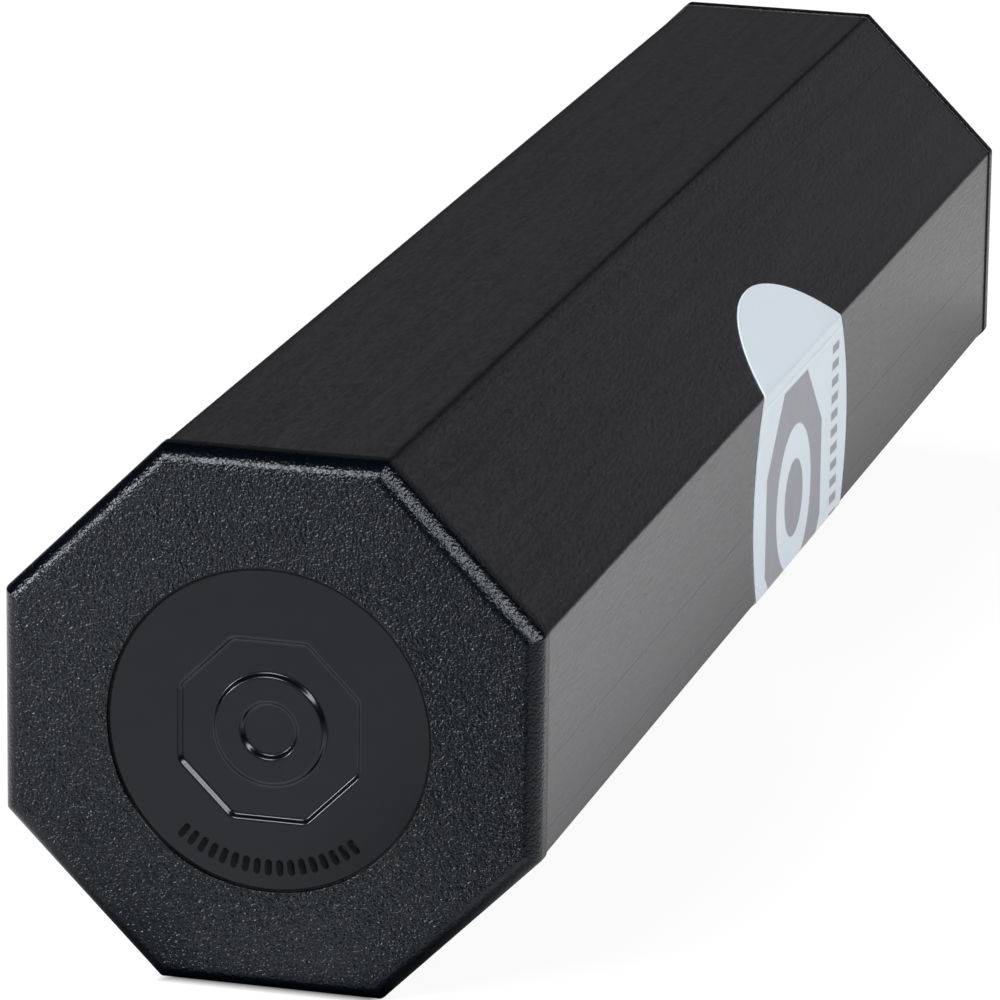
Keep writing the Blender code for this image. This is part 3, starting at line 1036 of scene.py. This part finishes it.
print("the sticker has", len(sticker_heights()), "rows")

# %% Join the sticker's two skins
def rim_of(skin):
    """The vertices round the edge of a skin, in order."""
    first, middle, last = skin[0], skin[1:-1], skin[-1]
    return first + [row[-1] for row in middle] + last[::-1] + [row[0] for row in middle[::-1]]


def make_sticker():
    """The sticker as one closed body, with its flat coordinates from 0 to 1 in the UV map."""
    bm = bmesh.new()
    flat = {}
    skins = [sticker_skin(bm, lift, flat) for lift in (STICKER_THICK, 0.0)]
    for skin in skins:
        for here, there in zip(skin, skin[1:]):
            for i in range(STICKER_COLUMNS):
                bm.faces.new((here[i], here[i + 1], there[i + 1], there[i])).smooth = True
    front, back = rim_of(skins[0]), rim_of(skins[1])
    for i in range(len(front)):
        j = (i + 1) % len(front)
        bm.faces.new((front[i], front[j], back[j], back[i]))
    layer = bm.loops.layers.uv.new("sticker_flat")
    for face in bm.faces:
        for loop in face.loops:
            loop[layer].uv = [0.5 + way / (2 * STICKER_RADIUS) for way in flat[loop.vert]]
    return finish_mesh(bm, "round_sticker", sharp=50)


sticker = make_sticker()
print("sticker has", len(sticker.data.polygons), "faces")

# %% [markdown]
# ### Its vinyl and its print
#
# The print is plain geometry in grey: an octagonal band with a round hole, a dot in the hole, and a
# column of short bars beside it, like a ruler's. Each shape is a distance worked out from the
# sticker's flat coordinates, so its edge stays sharp however close the camera comes. The vinyl has
# a faint peel and one pressed crease just below the upper fold.

# %% The print, in millimetres from the sticker's middle
BAND_MIDDLE = (-3.4, -2.2, 0)
BAND_OUTER = 12.2
BAND_INNER = 7.6
DOT_RADIUS = 4.0
SCALE_LEFT, SCALE_RIGHT = 13.2, 16.2
SCALE_LONG = 10.0
SCALE_STEP = 1.8
INK_SOFT = 0.20

vinyl, shader = new_finish("pale_printed_vinyl")
tree = vinyl.node_tree
in_map = put(tree, "UVMap", uv_map="sticker_flat").outputs[0]
flat = put(tree, "VectorMath", {0: in_map, 1: (0.5, 0.5, 0)}, operation="SUBTRACT").outputs[0]
to_millimetres = {0: flat, "Scale": 2 * STICKER_RADIUS / MM}
flat = put(tree, "VectorMath", to_millimetres, operation="SCALE").outputs[0]


def within(tree, value, limit):
    """1 where value is below limit, with a soft ink edge."""
    return between(tree, value, limit - INK_SOFT / 2, limit + INK_SOFT / 2, 1.0, 0.0)


def octagon_distance(tree, flat):
    """How far out a point is, measured in octagons."""
    far = 0.0
    for side in range(SIDES // 2):
        angle = side * SIDE_TURN
        reach = measured(tree, flat, (math.cos(angle), math.sin(angle), 0))
        far = sums(tree, "MAXIMUM", far, sums(tree, "ABSOLUTE", reach))
    return far


centred = put(tree, "VectorMath", {0: flat, 1: BAND_MIDDLE}, operation="SUBTRACT").outputs[0]
out = put(tree, "VectorMath", {0: centred}, operation="LENGTH").outputs["Value"]
octagon = octagon_distance(tree, centred)
band = sums(tree, "SUBTRACT", within(tree, octagon, BAND_OUTER), within(tree, out, BAND_INNER))
dot = within(tree, out, DOT_RADIUS)
across, upward = put(tree, "SeparateXYZ", {0: flat}).outputs[:2]
wide = sums(tree, "SUBTRACT", within(tree, across, SCALE_RIGHT), within(tree, across, SCALE_LEFT))
tall = within(tree, sums(tree, "ABSOLUTE", upward), SCALE_LONG)
bars = within(tree, sums(tree, "PINGPONG", upward, SCALE_STEP / 2), SCALE_STEP * 0.25)
column = product(tree, wide, tall, bars)
ink = sums(tree, "MAXIMUM", sums(tree, "MAXIMUM", band, dot), column)
print("the print's band is", round(BAND_OUTER - BAND_INNER, 1), "mm wide")

# %% The vinyl's own skin
VINYL_DARK, VINYL_LIGHT = (0.68, 0.76, 0.84), (0.72, 0.80, 0.88)
INK_DARK, INK_LIGHT = (0.265, 0.275, 0.315), (0.315, 0.325, 0.365)
CREASE_BELOW_FOLD, CREASE_HALF = 1.1, 0.40
CREASE_DEPTH, PEEL_SHARE = 0.06 * MM, 0.04

place = put(tree, "TexCoord").outputs["Object"]
peel = uneven_value(tree, place, 700.0, 3.0)
cloud = uneven_value(tree, place, 90.0, 2.0)
vinyl_shade = colour_between(tree, cloud, VINYL_DARK, VINYL_LIGHT)
ink_shade = colour_between(tree, peel, INK_DARK, INK_LIGHT)
shade = colour_between(tree, ink, vinyl_shade, ink_shade)
tree.links.new(shade, shader.inputs["Base Color"])
set_roughness(tree, shader, peel, 0.36, 0.46)
crease_at = (FOLD_FLAT - STICKER_MIDDLE.y) / MM - CREASE_BELOW_FOLD
crease = sums(tree, "ABSOLUTE", sums(tree, "SUBTRACT", upward, crease_at))
crease = between(tree, crease, 0.0, CREASE_HALF, 1.0, 0.0, kind="SMOOTHSTEP")
set_bump(tree, shader, blend_of(tree, (peel, PEEL_SHARE), (crease, 1.0)), CREASE_DEPTH)
sticker.data.materials.append(vinyl)
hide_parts("round_label")
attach(sticker, "shell")
print(vinyl.name, "has", len(tree.nodes), "nodes")

# %% [markdown]
# ## The shot
#
# Steel shot is dropped molten or tumbled, so no pellet is a perfect ball. Each is an icosphere,
# whose faces are all alike and bunch nowhere, with its points moved in and out a little by a smooth
# noise. A few patterns are enough for all 48, each turned its own way.

# %% Tumbled steel
steel, shader = new_finish("tumbled_steel")
tree = steel.node_tree
place = put(tree, "TexCoord").outputs["Object"]
pits = uneven_value(tree, place, 2600.0, 3.0)
tarnish = uneven_value(tree, place, 500.0, 2.0)
shade = colour_between(tree, tarnish, (0.42, 0.41, 0.40), (0.60, 0.60, 0.61))
tree.links.new(shade, shader.inputs["Base Color"])
set_roughness(tree, shader, pits, 0.20, 0.38)
set_bump(tree, shader, pits, 0.02 * MM)
shader.inputs["Metallic"].default_value = 1.0
print(steel.name, "has", len(tree.nodes), "nodes")

# %% Make and place the shot
SHOT_PATTERNS = 4
SHOT_UNEVEN = 0.012
SHOT_SEED = 31

shot_nodes = sorted(name for name in frame["nodes"] if name.startswith("bead_"))
first_low, first_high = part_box(shot_nodes[0])
SHOT_RADIUS = (first_high.z - first_low.z) / 2


def shot_pattern(number):
    """The mesh of one pellet, round the origin."""
    bm = bmesh.new()
    bmesh.ops.create_icosphere(bm, subdivisions=4, radius=1.0)
    for vert in bm.verts:
        uneven = noise.noise(vert.co * 1.7 + Vector((number * 9.1, 0, 0)))
        vert.co *= SHOT_RADIUS * (1 - SHOT_UNEVEN * (0.5 + 0.5 * uneven))
    for face in bm.faces:
        face.smooth = True
    mesh = bpy.data.meshes.new(f"shot_pattern_{number}")
    bm.to_mesh(mesh)
    bm.free()
    mesh.materials.append(steel)
    return mesh


luck = random.Random(SHOT_SEED)
patterns = [shot_pattern(number) for number in range(SHOT_PATTERNS)]
for node in shot_nodes:
    low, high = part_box(node)
    pellet = bpy.data.objects.new(node.replace("bead", "shot"), luck.choice(patterns))
    pellet.location = (low + high) / 2
    pellet.rotation_euler = [luck.uniform(0, 2 * math.pi) for _ in range(3)]
    bpy.context.scene.collection.objects.link(pellet)
    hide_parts(node)
    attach(pellet, frame["nodes"][node]["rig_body"])
print("pellets:", len(shot_nodes), "of", round(2000 * SHOT_RADIUS, 2), "mm")

# %% [markdown]
# ## The size and the view
#
# The dressed model has to stay as large as the CAD model, whose box is printed near the top. The
# view settings are the plain ones, so a colour shows as it is written.

# %% Set the plain view
bpy.context.scene.view_settings.view_transform = "Standard"
